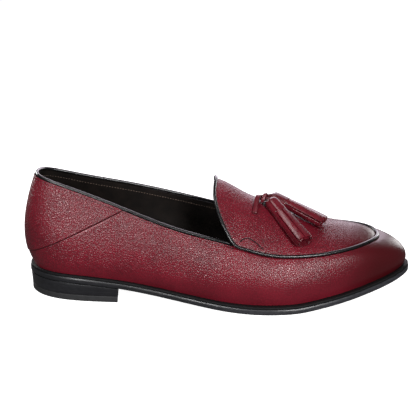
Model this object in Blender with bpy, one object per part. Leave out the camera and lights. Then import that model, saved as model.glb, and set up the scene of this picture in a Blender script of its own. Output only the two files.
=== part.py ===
"""Tassel loafer, right foot.

The shoe stands on its sole at z = 0, with its toe towards +X, its inner (medial) side towards +Y and its outer
(lateral) side towards -Y. The tables are in millimetres, measured from the back of the heel, and place() moves
them into the shoe's frame, whose origin is the middle of the shoe on the floor.
"""

import math
from collections import namedtuple

import bmesh
import bpy
import numpy as np
from mathutils import Matrix, Vector
from mathutils.bvhtree import BVHTree

# Driving sizes, in millimetres
MM = 0.001
SOLE_LENGTH = 299.7
HEEL_OVERHANG = 3.0
MIDDLE_X = (SOLE_LENGTH - HEEL_OVERHANG) / 2
MIDDLE_Y = -4.6
GAP = 0.3
WALL = 2.2
OUTSOLE_THICK = 4.2
OUTSOLE_EDGE = (
    # inset, height above the tread
    (0.8, 0.0),
    (0.1, 0.7),
    (0.0, OUTSOLE_THICK - 1.0),
    (0.4, OUTSOLE_THICK),
)
WELT_THICK = 1.6
WELT_WIDTH = 8.0
WELT_INSET = 0.5
INSOLE_THICK = 3.0
INSOLE_INSET = WALL + 0.4
HEEL_BREAST = 73.0
HEEL_INSET = 0.4
HEEL_STEPS = 14
SEARCH_STEP = 0.3
LIFT_THICK = 5.0
LIFT_INSET = 0.9
LIFT_BEVEL = 0.6
PIPING_RADIUS = 1.25
PIPING_SIDES = 8
GROOVE_DEPTH = 1.3
GROOVE_HALF = 2.0
PIPING_RISE = 0.6
COLLAR_END = 3.6
COLLAR_END_SIZE = 0.5
STEP_HEIGHT = 0.7
STEP_RUN = 0.5

# The counter's upper edge, a straight line in the side view from the back of the heel to the collar
COUNTER_BACK = (-3.0, 31.0)
COUNTER_COLLAR = (80.0, 73.0)
COUNTER_REACH = 100.0

# Height of the tread above the floor at each station: heel seat, arch, flat forefoot and toe spring
TREAD = (
    # x, z
    (-6, 15.5),
    (0, 15.4),
    (35, 14.7),
    (70, 12.0),
    (100, 7.7),
    (130, 3.4),
    (160, 0.5),
    (180, 0.0),
    (206, 0.0),
    (227, 2.2),
    (250, 5.5),
    (275, 10.4),
    (301, 16.3),
)

# Each rib runs from the upper's foot, inset from the sole's edge, to its top: the collar's rim behind the throat
# corner, and the apron's seam before it. The handles bend it, outwards from the foot and from the top.
Rib = namedtuple("Rib", "edge_x edge_y inset top_x top_y top_z low_out low_up high_out high_up")
RIBS = (
    (0.0, 0.0, 3.0, 8.7, 0.0, 93.6, 10.5, 20.0, 10.2, -26.0),
    (11.0, -21.0, 2.4, 13.5, -16.5, 93.0, 8.5, 19.0, 8.5, -25.0),
    (42.0, -33.5, 2.5, 40.0, -24.6, 85.2, 7.0, 18.0, 7.5, -24.0),
    (80.0, -36.5, 3.0, 78.0, -30.6, 72.4, 7.0, 15.0, 6.0, -20.0),
    (120.0, -43.0, 3.5, 120.0, -36.7, 58.0, 6.5, 12.0, 6.5, -15.0),
    (161.0, -53.2, 4.0, 161.5, -43.3, 49.4, 6.0, 12.0, 9.0, -10.0),
    (190.0, -56.0, 4.5, 188.0, -44.8, 42.8, 5.5, 11.0, 10.0, -5.0),
    (218.0, -50.8, 4.5, 214.0, -42.5, 41.8, 5.0, 11.0, 9.0, -4.0),
    (246.0, -40.5, 4.6, 236.5, -36.3, 42.8, 4.5, 11.0, 9.5, -2.0),
    (268.5, -29.0, 4.5, 254.5, -26.5, 44.2, 4.5, 10.5, 11.0, -1.0),
    (288.5, -15.3, 4.3, 268.3, -10.5, 44.2, 5.2, 9.6, 14.5, -0.6),
    (299.7, 3.5, 4.0, 274.0, 6.0, 43.5, 6.2, 9.8, 16.2, -1.2),
    (290.3, 21.5, 4.5, 269.5, 20.0, 43.9, 5.2, 10.4, 14.2, -1.3),
    (270.0, 34.2, 4.8, 256.5, 30.0, 43.8, 4.7, 10.9, 10.8, -1.5),
    (243.0, 42.5, 4.8, 238.0, 36.6, 43.6, 5.0, 11.0, 8.5, -3.0),
    (216.0, 46.0, 4.5, 214.0, 41.0, 44.0, 6.0, 11.0, 7.5, -5.0),
    (190.0, 42.5, 4.0, 188.0, 42.5, 46.6, 9.0, 11.0, 6.5, -9.0),
    (158.0, 33.0, 3.5, 161.5, 42.0, 52.4, 13.0, 11.0, 6.0, -14.0),
    (118.0, 26.5, 3.0, 120.0, 38.0, 63.8, 13.0, 12.0, 5.0, -18.0),
    (80.0, 30.0, 2.5, 78.0, 31.3, 74.9, 8.0, 14.0, 5.0, -20.0),
    (42.0, 31.5, 1.8, 40.0, 24.0, 83.9, 6.5, 18.0, 7.0, -24.0),
    (11.0, 21.0, 2.0, 13.5, 15.6, 91.2, 8.0, 19.0, 8.5, -25.0),
)
CORNER_ROW = 5
TOE_ROW = 11
STEPS = 4
RIB_ROWS = 8

# The apron's ridge from the tongue to the toe, and half of the tongue's edge from its top to the throat corners
RIDGE = (
    # x, y, z
    (160.0, 0.0, 83.4),
    (174.0, 0.0, 75.8),
    (192.0, 0.3, 69.0),
    (212.0, 1.0, 61.8),
    (233.0, 2.2, 55.8),
    (256.0, 4.0, 51.6),
)
THROAT_X = 172.0
TONGUE = (
    # x, half width, z
    (147.3, 0.0, 90.0),
    (146.0, 12.0, 86.3),
    (146.5, 24.0, 79.2),
    (150.8, 33.5, 67.5),
)
TONGUE_STEPS = 7
ARCH = 1.85
APRON_RINGS = (0.74, 0.48, 0.22)
EDGE_FALL = 1.5

# A tassel along its length: thong, cap with its shoulder and lower edge, and skirt with ever deeper slits
TASSEL = (
    # along, half width, half thickness, slit
    (0.0, 1.5, 1.3, 0.0),
    (1.8, 1.6, 1.4, 0.0),
    (2.2, 3.4, 2.7, 0.0),
    (3.4, 4.3, 3.3, 0.0),
    (12.4, 4.7, 3.6, 0.0),
    (13.2, 4.5, 3.4, 0.0),
    (13.4, 3.9, 2.9, 0.15),
    (19.0, 4.4, 3.1, 0.6),
    (32.0, 5.3, 3.5, 1.1),
    (45.0, 5.9, 3.8, 1.4),
)
TASSEL_STRIPS = 8
TASSEL_HOLLOW = 0.8

# One strip across: how far round it, and how deep there as a part of the slit
STRIP = (
    # round, deep
    (0.0, 1.0),
    (0.14, 0.0),
    (0.5, -0.25),
    (0.86, 0.0),
)

# Where each tassel's two ends lie in plan, and how far its middle line is above the apron there
TASSEL_PLACES = (
    # name, start x, y and rise, end x, y and rise
    ("tassel_side", 186.8, -7.0, 4.6, 213.0, -36.0, 5.0),
    ("tassel_front", 188.6, 2.2, 5.6, 230.0, -13.0, 4.6),
)

# The lace: a knot on the ridge, and its loose end that hangs towards the lateral side
KNOT_AT = (181.5, -2.0)
KNOT_HALF = (5.0, 4.6, 3.2)
LACE_END = (
    # x, y, rise
    (178.5, -5.0, 2.8),
    (176.5, -12.0, 2.1),
    (175.5, -20.5, 2.0),
)
LACE_RADIUS = 1.6

COLOURS = {
    "leather": (0.135, 0.012, 0.020),
    "tassel_leather": (0.150, 0.014, 0.020),
    "black_leather": (0.010, 0.010, 0.011),
    "sole_edge": (0.014, 0.014, 0.016),
    "lining": (0.012, 0.009, 0.008),
    "rubber": (0.015, 0.015, 0.016),
}
ROUGHNESS = {
    "leather": 0.42,
    "tassel_leather": 0.40,
    "black_leather": 0.35,
    "sole_edge": 0.40,
    "lining": 0.80,
    "rubber": 0.70,
}


def place(point):
    """A point of the tables, in millimetres, as a point of the shoe's frame, in metres."""
    return Vector(((point[0] - MIDDLE_X) * MM, (point[1] - MIDDLE_Y) * MM, point[2] * MM))


class SmoothCurve:
    """The smooth cubic curve through rows of numbers at their knots. A period closes it."""

    def __init__(self, knots, rows, period=None):
        self.knots = np.array(knots, float)
        self.rows = np.array(rows, float)
        self.period = period
        if period is not None:
            self.knots = np.append(self.knots, self.knots[0] + period)
            self.rows = np.vstack([self.rows, self.rows[0]])
        self.slopes = self.solve_slopes()

    def solve_slopes(self):
        count = len(self.knots)
        gaps = np.diff(self.knots)
        rise = np.diff(self.rows, axis=0) / gaps[:, None]
        matrix = np.zeros((count, count))
        right = np.zeros_like(self.rows)
        for i in range(1, count - 1):
            matrix[i, i - 1 : i + 2] = gaps[i], 2 * (gaps[i] + gaps[i - 1]), gaps[i - 1]
            right[i] = 3 * (gaps[i - 1] * rise[i] + gaps[i] * rise[i - 1])
        if self.period is None:
            matrix[0, :2] = matrix[-1, -1:-3:-1] = 2, 1
            right[0], right[-1] = 3 * rise[0], 3 * rise[-1]
        else:
            matrix[0, :2] = 2 * (gaps[0] + gaps[-1]), gaps[-1]
            matrix[0, -2] = gaps[0]
            right[0] = 3 * (gaps[-1] * rise[0] + gaps[0] * rise[-1])
            matrix[-1, 0], matrix[-1, -1] = 1, -1
        return np.linalg.solve(matrix, right)

    def at(self, where, slope=False):
        """The curve's row at a knot value, or its slope there."""
        if self.period is not None:
            where = self.knots[0] + (where - self.knots[0]) % self.period
        i = int(np.clip(np.searchsorted(self.knots, where, "right") - 1, 0, len(self.knots) - 2))
        gap = self.knots[i + 1] - self.knots[i]
        t = (where - self.knots[i]) / gap
        first, last = self.rows[i], self.rows[i + 1]
        out, into = self.slopes[i] * gap, self.slopes[i + 1] * gap
        if slope:
            return (
                (6 * t * t - 6 * t) * (first - last) + (3 * t * t - 4 * t + 1) * out + (3 * t * t - 2 * t) * into
            ) / gap
        return (
            (2 * t**3 - 3 * t * t + 1) * first
            + (t**3 - 2 * t * t + t) * out
            + (3 * t * t - 2 * t**3) * last
            + (t**3 - t * t) * into
        )


class TreadCurve(SmoothCurve):
    """A curve that never swings past its rows, so that the forefoot's flat spot is truly flat."""

    def solve_slopes(self):
        rise = np.diff(self.rows, axis=0) / np.diff(self.knots)[:, None]
        slopes = np.vstack([rise[:1], np.zeros_like(rise[1:]), rise[-1:]])
        for i in range(1, len(rise)):
            if (rise[i - 1] * rise[i] > 0).all():
                slopes[i] = 2 * rise[i - 1] * rise[i] / (rise[i - 1] + rise[i])
        return slopes


TREAD_CURVE = TreadCurve([row[0] for row in TREAD], [row[1:] for row in TREAD])


def tread(x):
    return float(TREAD_CURVE.at(x)[0])


def outsole_top(x):
    return tread(x) + OUTSOLE_THICK


def welt_top(x):
    return outsole_top(x) + GAP + WELT_THICK


def upper_foot(x):
    return welt_top(x) + GAP


class Last:
    """The form under the upper: the sole's outline and the ribs that stand on it."""

    def __init__(self):
        rows = np.array(RIBS)
        runs = np.linalg.norm(np.roll(rows[:, :2], -1, axis=0) - rows[:, :2], axis=1)
        self.knots = np.concatenate([[0.0], np.cumsum(runs)])
        self.curve = SmoothCurve(self.knots[:-1], rows, self.knots[-1])
        self.samples = len(RIBS) * STEPS

    def knot_of(self, sample):
        """The place along the outline of a numbered rib: STEPS ribs to each row of the table."""
        row, part = divmod(sample % self.samples, STEPS)
        return self.knots[row] + (self.knots[row + 1] - self.knots[row]) * part / STEPS

    def outward(self, knot):
        """The direction away from the sole's edge, in plan."""
        along = self.curve.at(knot, slope=True)[:2]
        return np.array((along[1], -along[0])) / np.linalg.norm(along)

    def edge(self, knot, inset=0.0):
        """A point of the sole's outline in plan, moved inwards."""
        return self.curve.at(knot)[:2] - inset * self.outward(knot)

    def foot(self, knot, inset=0.0):
        """The upper's foot in plan, moved inwards."""
        return self.edge(knot, Rib(*self.curve.at(knot)).inset + inset)

    def top(self, knot):
        return self.curve.at(knot)[3:6]

    def rib(self, knot, count, last_run):
        """Points up a rib, the last two of them last_run apart."""
        row = Rib(*self.curve.at(knot))
        outward = np.append(self.outward(knot), 0.0)
        foot = np.append(self.foot(knot), 0.0)
        foot[2] = upper_foot(foot[0])
        top = self.top(knot)
        low = foot + row.low_out * outward + (0, 0, row.low_up)
        high = top + row.high_out * outward + (0, 0, row.high_up)

        def bezier(t):
            return (1 - t) ** 3 * foot + 3 * t * (1 - t) ** 2 * low + 3 * t * t * (1 - t) * high + t**3 * top

        end = 1 - last_run / (3 * np.linalg.norm(top - high))
        return [bezier(end * i / (count - 1)) for i in range(count)] + [top]


LAST = Last()
CORNER = CORNER_ROW * STEPS
TOE = TOE_ROW * STEPS
LATERAL, MEDIAL = -1, 1


def apron_edges():
    """Pairs of points round the apron, lateral and medial, from the tongue's top to the toe's tip."""
    corners = {side: LAST.top(LAST.knot_of(seam_sample(side, TONGUE_STEPS))) for side in (LATERAL, MEDIAL)}
    rows = [(x, -w, z) for x, w, z in TONGUE[:0:-1]] + [TONGUE[0]] + [(x, w, z) for x, w, z in TONGUE[1:]]
    rows = np.array([corners[LATERAL], *rows, corners[MEDIAL]])
    knots = np.concatenate([[0.0], np.cumsum(np.linalg.norm(np.diff(rows, axis=0), axis=1))])
    edge = SmoothCurve(knots, rows)
    middle = knots[len(TONGUE)]
    pairs = []
    for k in range(TONGUE_STEPS + TOE - CORNER + 1):
        if k < TONGUE_STEPS:
            part = k / TONGUE_STEPS
            pairs.append((edge.at(middle * (1 - part)), edge.at(middle + (knots[-1] - middle) * part)))
        else:
            pairs.append([LAST.top(LAST.knot_of(seam_sample(side, k))) for side in (LATERAL, MEDIAL)])
    return pairs


def seam_sample(side, k):
    """The numbered rib that ends at pair k of the apron's edge."""
    sample = CORNER + k - TONGUE_STEPS
    return sample if side == LATERAL else LAST.samples - sample


def ridge_places(pairs):
    """For each pair of the apron's edge, the ridge's place that its ribs start from."""
    start, end = RIDGE[0][0], RIDGE[-1][0]
    middles = [(a[0] + b[0]) / 2 for a, b in pairs]
    corner, tip = middles[TONGUE_STEPS], middles[-1]
    places = []
    for k, middle in enumerate(middles):
        if k < TONGUE_STEPS:
            places.append(start + (THROAT_X - start) * k / TONGUE_STEPS)
        else:
            places.append(THROAT_X + (end - THROAT_X) * (middle - corner) / (tip - corner))
    return places


class Skin:
    """The upper's outer face as named points and faces."""

    def __init__(self):
        self.points = {}
        self.faces = []
        self.add_side()
        self.add_apron()
        self.normals = self.vertex_normals()

    def add_side(self):
        for i in range(LAST.samples):
            for j, point in enumerate(LAST.rib(LAST.knot_of(i), RIB_ROWS, GROOVE_HALF)):
                self.points["side", i, j] = point
        for i in range(LAST.samples):
            after = (i + 1) % LAST.samples
            for j in range(RIB_ROWS):
                self.faces.append((("side", i, j), ("side", after, j), ("side", after, j + 1), ("side", i, j + 1)))

    def apron_key(self, side, k, ring):
        """The name of a point of the apron. Rings run from its edge, 0, to the ridge."""
        if ring == len(APRON_RINGS) + 2:
            return ("ridge", k)
        if ring == 0 and k >= TONGUE_STEPS:
            return ("side", seam_sample(side, k) % LAST.samples, RIB_ROWS)
        if k in (0, self.last_pair):
            side = LATERAL
        return ("apron", side, k, ring)

    def add_apron(self):
        pairs = apron_edges()
        places = ridge_places(pairs)
        self.last_pair = len(pairs) - 1
        ridge = SmoothCurve([row[0] for row in RIDGE], [row[1:] for row in RIDGE])
        for k, pair in enumerate(pairs):
            spine = np.array((places[k], *ridge.at(places[k])))
            fall = ridge.at(places[k], slope=True)[1]
            for side, edge in zip((LATERAL, MEDIAL), pair):
                run = edge - spine
                first = 1 - GROOVE_HALF / np.linalg.norm(run * (1, 1, EDGE_FALL))
                for ring, part in enumerate((1.0, first, *(first * f for f in APRON_RINGS), 0.0)):
                    point = spine + run * part
                    point[2] = spine[2] + fall * run[0] * part + (run[2] - fall * run[0]) * part**ARCH
                    self.points[self.apron_key(side, k, ring)] = point
        for k in range(self.last_pair):
            for side in (LATERAL, MEDIAL):
                for ring in range(len(APRON_RINGS) + 2):
                    face = [self.apron_key(side, *at) for at in ((k, ring), (k, ring + 1), (k + 1, ring + 1), (k + 1, ring))]
                    self.faces.append(tuple(face[::side]))

    def vertex_normals(self):
        normals = {key: np.zeros(3) for key in self.points}
        for face in self.faces:
            a, b, c, d = (self.points[key] for key in face)
            normal = np.cross(c - a, d - b)
            for key in face:
                normals[key] += normal
        return {key: value / np.linalg.norm(value) for key, value in normals.items()}

    def apron_loop(self):
        """The names round the apron's edge, from the tongue's top by the lateral side."""
        lateral = [self.apron_key(LATERAL, k, 0) for k in range(self.last_pair + 1)]
        medial = [self.apron_key(MEDIAL, k, 0) for k in range(1, self.last_pair)]
        return lateral + medial[::-1]

    def open_edges(self):
        """Pairs of names that only one face uses, in that face's order."""
        edges = {(a, b) for face in self.faces for a, b in zip(face, face[1:] + face[:1])}
        return [(a, b) for a, b in edges if (b, a) not in edges]

    def inner(self, key):
        """The point of the lining side behind a named point."""
        point = self.points[key] - WALL * self.normals[key]
        if key[0] == "side" and key[2] == 0:
            plan = self.normals[key][:2] / np.linalg.norm(self.normals[key][:2])
            point[:2] = self.points[key][:2] - WALL * plan
            point[2] = upper_foot(point[0])
        return point


SKIN = Skin()


def mesh_object(name, material, points, faces, sharp=40.0):
    """A closed mesh in the shoe's frame, its faces turned outwards and shaded smooth up to a sharp angle."""
    mesh = bpy.data.meshes.new(name)
    mesh.from_pydata([place(point) for point in points], [], [tuple(face) for face in faces])
    built = bmesh.new()
    built.from_mesh(mesh)
    bmesh.ops.recalc_face_normals(built, faces=built.faces[:])
    built.to_mesh(mesh)
    built.free()
    mesh.shade_smooth()
    mesh.set_sharp_from_angle(angle=math.radians(sharp))
    mesh.materials.append(MATERIALS[material])
    made = bpy.data.objects.new(name, mesh)
    made.parent = ROOT
    bpy.context.scene.collection.objects.link(made)
    return made


def make_material(name):
    material = bpy.data.materials.new(name)
    material.use_nodes = True
    shader = material.node_tree.nodes["Principled BSDF"]
    shader.inputs["Base Color"].default_value = (*COLOURS[name], 1.0)
    shader.inputs["Roughness"].default_value = ROUGHNESS[name]
    shader.inputs["Metallic"].default_value = 0.0
    return material


def make_upper():
    keys = list(SKIN.points)
    count = len(keys)
    number = {key: i for i, key in enumerate(keys)}
    grooved = set(SKIN.apron_loop())
    outer = [SKIN.points[key] - (GROOVE_DEPTH * SKIN.normals[key] if key in grooved else 0) for key in keys]
    inner = [SKIN.inner(key) for key in keys]
    faces = []
    for face in SKIN.faces:
        ids = list(dict.fromkeys(number[key] for key in face))
        faces.append(ids)
        faces.append([i + count for i in reversed(ids)])
    for a, b in SKIN.open_edges():
        faces.append([number[b], number[a], number[a] + count, number[b] + count])
    upper = mesh_object("upper", "leather", outer + inner, faces)
    raise_counter(upper.data, count)
    upper.data.set_sharp_from_angle(angle=math.radians(30))


def raise_counter(mesh, outer_count):
    """Raises the leather above the counter's edge by a small step in the outer face."""
    start = place((COUNTER_BACK[0], 0, COUNTER_BACK[1]))
    run = place((COUNTER_COLLAR[0], 0, COUNTER_COLLAR[1])) - start
    up = Vector((-run.z, 0, run.x)).normalized()
    built = bmesh.new()
    built.from_mesh(mesh)
    built.verts.ensure_lookup_table()
    reach = place((COUNTER_REACH, 0, 0)).x
    outer = {vert for vert in built.verts[:outer_count] if vert.co.x < reach}
    for offset in (0.0, STEP_RUN * MM):
        faces = [face for face in built.faces if all(vert in outer for vert in face.verts)]
        edges = {edge for face in faces for edge in face.edges}
        cut = bmesh.ops.bisect_plane(
            built,
            geom=[*outer, *edges, *faces],
            dist=1e-6,
            plane_co=start + up * offset,
            plane_no=up,
        )
        outer |= {part for part in cut["geom_cut"] if isinstance(part, bmesh.types.BMVert)}
    built.normal_update()
    for vert in [v for v in outer if (v.co - start).dot(up) > (STEP_RUN - 0.01) * MM]:
        vert.co += vert.normal * STEP_HEIGHT * MM
    built.to_mesh(mesh)
    built.free()


def tube(name, material, path, radius, sides, closed, end_size=1.0):
    """A round cord along a path of points. Where it isn't closed its ends are flat, and may be thinner."""
    path = [np.array(point, float) for point in path]
    count = len(path)
    ahead = [path[(i + 1) % count] - path[i] for i in range(count)]
    along = []
    for i in range(count):
        if closed or 0 < i < count - 1:
            mean = ahead[i] / np.linalg.norm(ahead[i]) + ahead[i - 1] / np.linalg.norm(ahead[i - 1])
        else:
            mean = ahead[0] if i == 0 else ahead[-2]
        along.append(mean / np.linalg.norm(mean))
    points = []
    for i, (point, direction) in enumerate(zip(path, along)):
        across = np.cross(direction, (0.0, 0.0, 1.0))
        across /= np.linalg.norm(across)
        upward = np.cross(across, direction)
        size = radius if closed or 0 < i < count - 1 else radius * end_size
        for side in range(sides):
            angle = 2 * math.pi * (side + 0.5) / sides
            points.append(point + size * (math.cos(angle) * across + math.sin(angle) * upward))
    faces = []
    for i in range(count if closed else count - 1):
        after = (i + 1) % count
        for side in range(sides):
            turn = (side + 1) % sides
            faces.append((i * sides + side, i * sides + turn, after * sides + turn, after * sides + side))
    if not closed:
        faces += [tuple(range(sides)), tuple(range((count - 1) * sides, count * sides))]
    return mesh_object(name, material, points, faces, sharp=60.0)


def make_piping():
    """The cord in the groove round the apron, and the cord on the collar's rim."""
    apron = [SKIN.points[key] + PIPING_RISE * SKIN.normals[key] for key in SKIN.apron_loop()]
    tube("piping_apron", "black_leather", apron, PIPING_RADIUS, PIPING_SIDES, closed=True)
    collar = []
    for i in range(LAST.samples - CORNER, LAST.samples + CORNER + 1):
        top, below = ("side", i % LAST.samples, RIB_ROWS), ("side", i % LAST.samples, RIB_ROWS - 1)
        rise = SKIN.points[top] - SKIN.points[below]
        rise /= np.linalg.norm(rise)
        middle = (SKIN.points[top] + SKIN.inner(top)) / 2
        collar.append(middle + (PIPING_RADIUS + GAP) * rise)
    for end, before in ((0, 1), (-1, -2)):
        back = collar[before] - collar[end]
        collar[end] = collar[end] + back / np.linalg.norm(back) * COLLAR_END
    tube("piping_collar", "black_leather", collar, PIPING_RADIUS, PIPING_SIDES, closed=False, end_size=COLLAR_END_SIZE)


def ladder(count, flip=False):
    """Faces across a closed outline of count points, whose points i and count - i face each other."""
    faces = [(0, 1, count - 1)]
    for i in range(1, count // 2 - 1):
        faces.append((i, i + 1, count - i - 1, count - i))
    faces.append((count // 2 - 1, count // 2, count // 2 + 1))
    return [face[::-1] for face in faces] if flip else faces


def plate(name, material, rows, sharp=30.0):
    """A solid plate from stacked rows of outline points, bottom row first."""
    count = len(rows[0])
    points = [point for row in rows for point in row]
    top = (len(rows) - 1) * count
    faces = ladder(count, flip=True) + [tuple(i + top for i in face) for face in ladder(count)]
    for j in range(len(rows) - 1):
        for i in range(count):
            after = (i + 1) % count
            low, high = j * count, (j + 1) * count
            faces.append((low + i, low + after, high + after, high + i))
    return mesh_object(name, material, points, faces, sharp)


def outline(inset, height, from_foot=False):
    """The whole outline at an inset from the sole's edge, or from the upper's foot, at its own height."""
    row = []
    for i in range(LAST.samples):
        knot = LAST.knot_of(i)
        x, y = LAST.foot(knot, inset) if from_foot else LAST.edge(knot, inset)
        row.append((x, y, height(x)))
    return row


def make_outsole():
    rows = [outline(inset, lambda x, up=up: tread(x) + up) for inset, up in OUTSOLE_EDGE]
    plate("outsole", "sole_edge", rows)


def make_insole():
    bottom = outline(INSOLE_INSET, upper_foot, from_foot=True)
    top = outline(INSOLE_INSET, lambda x: upper_foot(x) + INSOLE_THICK, from_foot=True)
    plate("insole", "lining", [bottom, top])


def make_welt():
    """The strip under the upper's foot, a closed ring."""

    def low(x):
        return outsole_top(x) + GAP

    rows = [
        outline(WELT_WIDTH, low, from_foot=True),
        outline(WELT_INSET, low),
        outline(WELT_INSET, welt_top),
        outline(WELT_WIDTH, welt_top, from_foot=True),
    ]
    count = len(rows[0])
    points = [point for row in rows for point in row]
    faces = []
    for j in range(len(rows)):
        above = (j + 1) % len(rows)
        for i in range(count):
            after = (i + 1) % count
            faces.append((j * count + i, j * count + after, above * count + after, above * count + i))
    mesh_object("welt", "black_leather", points, faces, sharp=30.0)


def breast_knots():
    """Where the outline crosses the heel's breast, found from the back along each side."""
    knots = []
    for way in (1, -1):
        knot = 0.0
        while LAST.edge(knot)[0] <= HEEL_BREAST:
            knot += way * SEARCH_STEP
        knots.append(knot)
    return knots


def heel_outline(inset, height):
    """The outline of the heel: the sole's, from the breast round the back, and straight across the breast."""
    first, last = breast_knots()
    row = []
    for i in range(2 * HEEL_STEPS):
        part = i / HEEL_STEPS
        knot = first * part if i <= HEEL_STEPS else last * (2 - part)
        x, y = LAST.edge(knot, inset)
        row.append((min(x, HEEL_BREAST), y, height(x)))
    return row


def make_heel():
    """The stacked block under the sole, and the lift that it stands on."""
    block = [
        heel_outline(LIFT_INSET, lambda x: LIFT_THICK + GAP),
        heel_outline(HEEL_INSET, lambda x: tread(x) - GAP),
    ]
    plate("heel_block", "sole_edge", block)
    lift = [
        heel_outline(LIFT_INSET + LIFT_BEVEL, lambda x: 0.0),
        heel_outline(LIFT_INSET, lambda x: LIFT_BEVEL),
        heel_outline(LIFT_INSET, lambda x: LIFT_THICK),
    ]
    plate("top_lift", "rubber", lift)


def apron_surface():
    """The apron's outer face, for finding its height."""
    keys = list(SKIN.points)
    number = {key: i for i, key in enumerate(keys)}
    faces = [list(dict.fromkeys(number[key] for key in face)) for face in SKIN.faces]
    return BVHTree.FromPolygons([Vector(SKIN.points[key]) for key in keys], faces)


def above_apron(surface, x, y, rise):
    """The point that lies a rise above the apron, measured away from its face."""
    hit, normal, _, _ = surface.ray_cast(Vector((x, y, 200.0)), Vector((0, 0, -1)))
    return hit + (normal if normal.z > 0 else -normal) * rise


def tassel_row(along, half_width, half_thick, slit):
    """One cross-section: a flattened ring of strips with slits between them. X runs along the tassel."""
    row = []
    for strip in range(TASSEL_STRIPS):
        for part, depth in STRIP:
            angle = 2 * math.pi * (strip + part) / TASSEL_STRIPS
            width, thick = half_width - depth * slit, half_thick - depth * slit
            row.append((along, width * math.cos(angle), thick * math.sin(angle)))
    return row


def make_tassel(name, start, end):
    """A tassel lying from start to end: its thong, its cap, and a skirt of strips fused on its core."""
    rows = [tassel_row(*row) for row in TASSEL]
    count = len(rows[0])
    points = [point for row in rows for point in row]
    faces = []
    for j in range(len(rows) - 1):
        for i in range(count):
            after = (i + 1) % count
            faces.append((j * count + i, j * count + after, (j + 1) * count + after, (j + 1) * count + i))
    for row, hollow in ((0, 0.0), (len(rows) - 1, TASSEL_HOLLOW)):
        centre = len(points)
        points.append((TASSEL[row][0] - hollow, 0.0, 0.0))
        for i in range(count):
            faces.append((row * count + i, row * count + (i + 1) % count, centre))
    along = (end - start).normalized()
    across = Vector((0, 0, 1)).cross(along).normalized()
    turn = Matrix((along, across, along.cross(across))).transposed()
    mesh_object(name, "tassel_leather", [start + turn @ Vector(point) for point in points], faces, sharp=35.0)


def make_tassels(surface):
    for name, start_x, start_y, start_rise, end_x, end_y, end_rise in TASSEL_PLACES:
        start = above_apron(surface, start_x, start_y, start_rise)
        end = above_apron(surface, end_x, end_y, end_rise)
        make_tassel(name, start, end)


def make_knot(surface):
    """The knot, a flattened ball, with the lace's loose end joined to it."""
    centre = above_apron(surface, *KNOT_AT, KNOT_HALF[2] + 2 * GAP)
    ball = bmesh.new()
    bmesh.ops.create_uvsphere(ball, u_segments=14, v_segments=9, radius=1.0)
    points = [centre + Vector(size * part for size, part in zip(KNOT_HALF, vert.co)) for vert in ball.verts]
    faces = [[vert.index for vert in face.verts] for face in ball.faces]
    ball.free()
    knot = mesh_object("lace_knot", "tassel_leather", points, faces, sharp=60.0)
    path = [centre] + [above_apron(surface, *row) for row in LACE_END]
    end = tube("lace_end_shape", "tassel_leather", path, LACE_RADIUS, PIPING_SIDES, closed=False)
    end.hide_render = True
    end.display_type = "WIRE"
    join = knot.modifiers.new("lace end", "BOOLEAN")
    join.operation = "UNION"
    join.object = end


for thing in list(bpy.data.objects):
    bpy.data.objects.remove(thing, do_unlink=True)

ROOT = bpy.data.objects.new("loafer", None)
bpy.context.scene.collection.objects.link(ROOT)
MATERIALS = {name: make_material(name) for name in COLOURS}
make_upper()
make_piping()
make_insole()
make_welt()
make_outsole()
make_heel()
APRON = apron_surface()
make_knot(APRON)
make_tassels(APRON)
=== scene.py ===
"""Tassel loafer, right foot: the dressed shoe over its CAD frame.

The frame is the CAD's own: +X to the toe, +Y to the inner side, +Z up, the floor at z = 0. The tables of the
shoe are in millimetres. The lights, the materials and the property groups are in metres.
"""

import math
import random
from contextlib import contextmanager

import bpy
import numpy as np
from bpy.props import FloatProperty, FloatVectorProperty, IntProperty, PointerProperty
from mathutils import Matrix, Vector
from mathutils.bvhtree import BVHTree


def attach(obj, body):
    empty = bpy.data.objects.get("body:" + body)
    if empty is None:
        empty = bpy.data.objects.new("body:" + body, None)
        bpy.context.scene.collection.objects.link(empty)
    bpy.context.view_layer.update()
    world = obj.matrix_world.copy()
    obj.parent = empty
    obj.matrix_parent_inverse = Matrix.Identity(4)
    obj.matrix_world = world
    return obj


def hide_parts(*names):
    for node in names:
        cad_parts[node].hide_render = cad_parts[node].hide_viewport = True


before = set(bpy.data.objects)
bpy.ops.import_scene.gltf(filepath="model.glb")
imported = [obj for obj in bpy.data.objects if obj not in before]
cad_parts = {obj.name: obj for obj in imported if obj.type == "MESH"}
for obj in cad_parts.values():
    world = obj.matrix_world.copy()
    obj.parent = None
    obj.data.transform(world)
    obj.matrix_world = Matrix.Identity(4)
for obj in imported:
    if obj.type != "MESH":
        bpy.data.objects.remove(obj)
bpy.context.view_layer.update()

bl_info = {
    "name": "Tassel loafer",
    "version": (1, 0, 0),
    "blender": (4, 5, 0),
    "location": "View3D > Sidebar > Loafer",
    "description": "Dresses the right tassel loafer: leather, piping, stitches, lace, tassels and sole",
    "category": "Add Mesh",
}

MM = 0.001

# The collar's rim from the inner throat corner round the back to the outer one
COLLAR = (
    (13.2, 46.6, 52.4),
    (-28.4, 42.6, 63.8),
    (-70.4, 35.9, 74.9),
    (-108.4, 28.6, 83.9),
    (-134.9, 20.2, 91.2),
    (-139.7, 4.6, 93.6),
    (-134.9, -11.9, 93.0),
    (-108.4, -20.0, 85.2),
    (-70.4, -26.0, 72.4),
    (-28.4, -32.1, 58.0),
    (13.2, -38.7, 49.4),
)

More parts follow.
